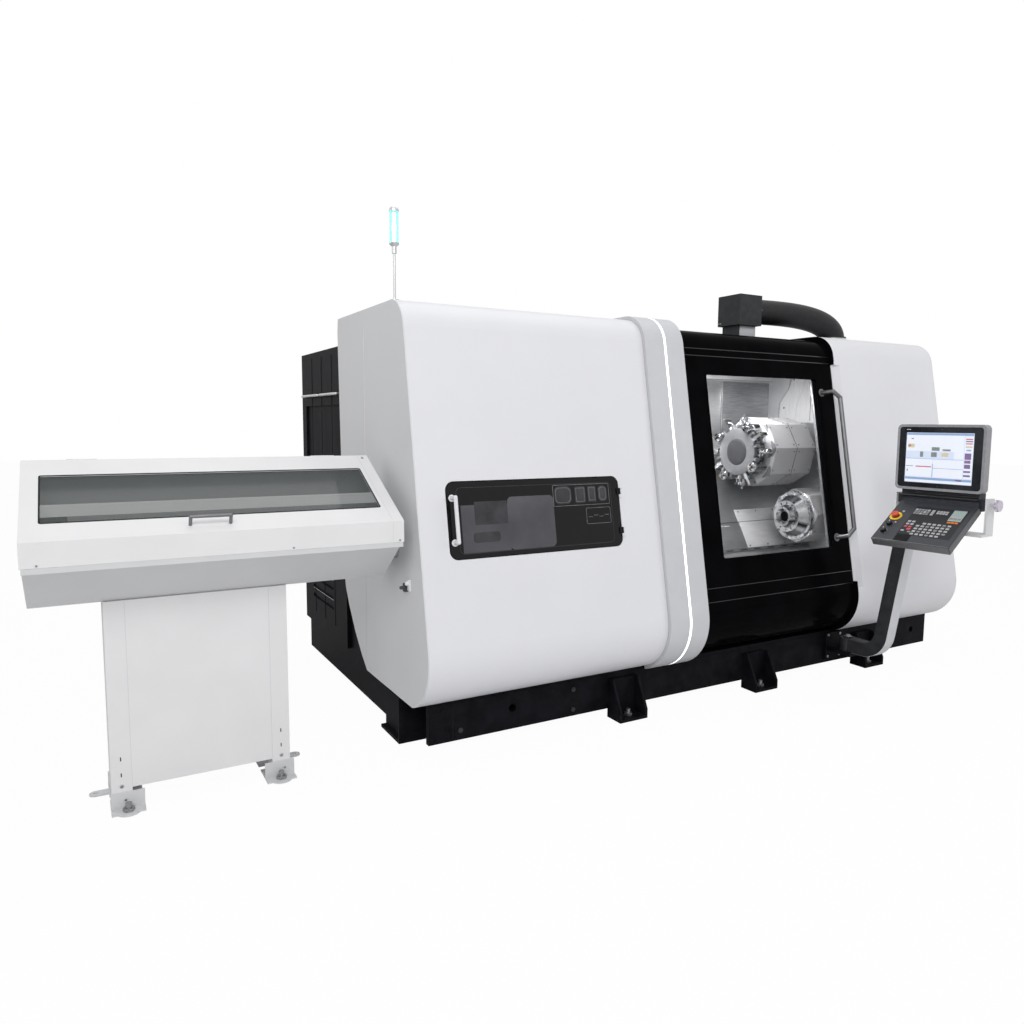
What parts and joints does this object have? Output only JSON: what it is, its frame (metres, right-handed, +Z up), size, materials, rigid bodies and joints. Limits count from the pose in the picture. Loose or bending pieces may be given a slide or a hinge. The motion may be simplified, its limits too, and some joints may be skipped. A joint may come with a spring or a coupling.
{
  "type": "cnc turning lathe",
  "caption": "Enclosed slant-bed turning lathe with sliding door, tool turret, counter spindle, swing-out control pendant and a bar loader standing at its left end.",
  "frame": {"origin": "middle of the overall footprint, on the floor", "axes": "+Z up, +X along the spindle axis from the bar loader to the pendant end, -Y towards the operator"},
  "size_m": [5.302, 2.9758, 2.521],
  "materials": {
    "base_black": "satin black paint",
    "panel_white": "satin white powder coat",
    "panel_grey": "satin light grey powder coat",
    "belt_silver": "satin silver-white paint",
    "light_strip": "lit diffuser",
    "gloss_black": "glossy black",
    "dark_steel": "dark grey paint",
    "cast_grey": "machined casting",
    "liner_steel": "brushed stainless sheet",
    "light_cast": "light grey paint",
    "bright_steel": "ground steel",
    "chrome_steel": "polished steel",
    "cap_grey": "dark grey cap",
    "window_glass": "clear glass",
    "lid_pane": "tinted pane",
    "lamp_green": "lit green lens",
    "hose_black": "black hose",
    "console_grey": "dark grey",
    "rim_grey": "grey rim",
    "stop_red": "red",
    "knob_black": "black",
    "alu": "satin aluminium"
  },
  "bodies": {
    "frame": {"base_frame": "base_black", "foot_brackets": "base_black", "floor_bolts": "bright_steel", "slant_bed": "cast_grey", "guide_rails": "bright_steel", "headstock": "light_cast", "guide_tube": "bright_steel", "left_front_panel": "panel_white", "left_side_panel": "panel_grey", "belt_trim": "belt_silver", "led_strip": "light_strip", "door_top_cover": "gloss_black", "door_sill": "gloss_black", "door_frame": "dark_steel", "door_rails": "dark_steel", "right_front_panel": "panel_white", "right_side_panel": "panel_grey", "back_wall": "liner_steel", "left_wall": "liner_steel", "right_wall": "liner_steel", "chip_chute": "liner_steel", "rear_cabinet": "base_black", "signal_pole": "alu", "signal_lamp": "lamp_green", "duct_box": "base_black", "duct_hose": "hose_black", "pendant_bracket": "base_black", "loader_tub": "panel_grey", "loader_pedestal": "panel_white", "loader_feet": "panel_grey", "feed_channel": "alu", "feed_rail": "alu"},
    "door": {"door_panel": "gloss_black", "door_glass": "window_glass", "door_handle": "bright_steel"},
    "hatch": {"hatch": "gloss_black", "hatch_handle": "panel_white"},
    "spindle": {"main_spindle": "bright_steel"},
    "counter_slide": {"counter_head": "light_cast"},
    "counter_rotor": {"counter_spindle": "bright_steel", "collet_chuck": "chrome_steel"},
    "carriage": {"turret_carriage": "cast_grey", "way_cover": "liner_steel"},
    "cross_slide": {"turret_housing": "light_cast"},
    "turret": {"turret_disc": "bright_steel", "tool_holders": "chrome_steel", "disc_cap": "cap_grey"},
    "arm": {"pendant_arm": "dark_steel", "pendant_yoke": "panel_grey"},
    "console": {"console": "console_grey", "monitor": "rim_grey", "screen": "gloss_black"},
    "stop_button": {"emergency_stop": "stop_red"},
    "feed_knob": {"knob_feed": "knob_black"},
    "speed_knob": {"knob_speed": "knob_black"},
    "clamp_knob": {"tilt_knob": "rim_grey"},
    "lid": {"loader_lid": "panel_white", "lid_window": "lid_pane", "lid_handle": "bright_steel"},
    "pusher": {"bar_pusher": "dark_steel"}
  },
  "joints": [
    {"name": "door_travel", "type": "slide", "parent": "frame", "child": "door", "axis": [1, 0, 0], "range_m": [-0.95, 0]},
    {"name": "hatch_swing", "type": "hinge", "parent": "frame", "child": "hatch", "pos_m": [-0.087, -0.65027, 1.11086], "axis": [0, 0.1833, 0.9831], "range_deg": [0, 100]},
    {"name": "main_spin", "type": "hinge", "parent": "frame", "child": "spindle", "pos_m": [0.021, -0.35713, 0.97], "axis": [1, 0, 0], "continuous": true},
    {"name": "counter_travel", "type": "slide", "parent": "frame", "child": "counter_slide", "axis": [1, 0, 0], "range_m": [-0.35, 0.06]},
    {"name": "counter_spin", "type": "hinge", "parent": "counter_slide", "child": "counter_rotor", "pos_m": [1.621, -0.35713, 0.97], "axis": [1, 0, 0], "continuous": true},
    {"name": "carriage_travel", "type": "slide", "parent": "frame", "child": "carriage", "axis": [1, 0, 0], "range_m": [-0.55, 0.09]},
    {"name": "cross_travel", "type": "slide", "parent": "carriage", "child": "cross_slide", "axis": [0, 0.5, 0.866], "range_m": [-0.04, 0.07]},
    {"name": "turret_index", "type": "hinge", "parent": "cross_slide", "child": "turret", "pos_m": [1.261, -0.12613, 1.3701], "axis": [1, 0, 0], "continuous": true},
    {"name": "arm_swing", "type": "hinge", "parent": "frame", "child": "arm", "pos_m": [1.681, -0.66713, 0.19], "axis": [0, 0, 1], "range_deg": [-40, 50]},
    {"name": "console_tilt", "type": "hinge", "parent": "arm", "child": "console", "pos_m": [1.73684, -1.18252, 1.128], "axis": [0.0698, -0.9976, 0], "range_deg": [-12, 12]},
    {"name": "stop_press", "type": "slide", "parent": "console", "child": "stop_button", "axis": [0.5722, 0.04, -0.8192], "range_m": [0, 0.004], "stiffness_N_per_m": 900},
    {"name": "feed_turn", "type": "hinge", "parent": "console", "child": "feed_knob", "pos_m": [1.51228, -1.0238, 0.99511], "axis": [-0.5722, -0.04, 0.8192], "range_deg": [-135, 135]},
    {"name": "speed_turn", "type": "hinge", "parent": "console", "child": "speed_knob", "pos_m": [1.46134, -1.02335, 0.95955], "axis": [-0.5722, -0.04, 0.8192], "range_deg": [-135, 135]},
    {"name": "clamp_turn", "type": "hinge", "parent": "arm", "child": "clamp_knob", "pos_m": [1.75567, -1.45186, 1.128], "axis": [0.0698, -0.9976, 0], "range_deg": [-180, 180]},
    {"name": "lid_lift", "type": "hinge", "parent": "frame", "child": "lid", "pos_m": [-1.879, -0.16513, 1.38], "axis": [-1, 0, 0], "range_deg": [0, 70]},
    {"name": "pusher_travel", "type": "slide", "parent": "frame", "child": "pusher", "axis": [1, 0, 0], "range_m": [0, 1.08]}
  ]
}
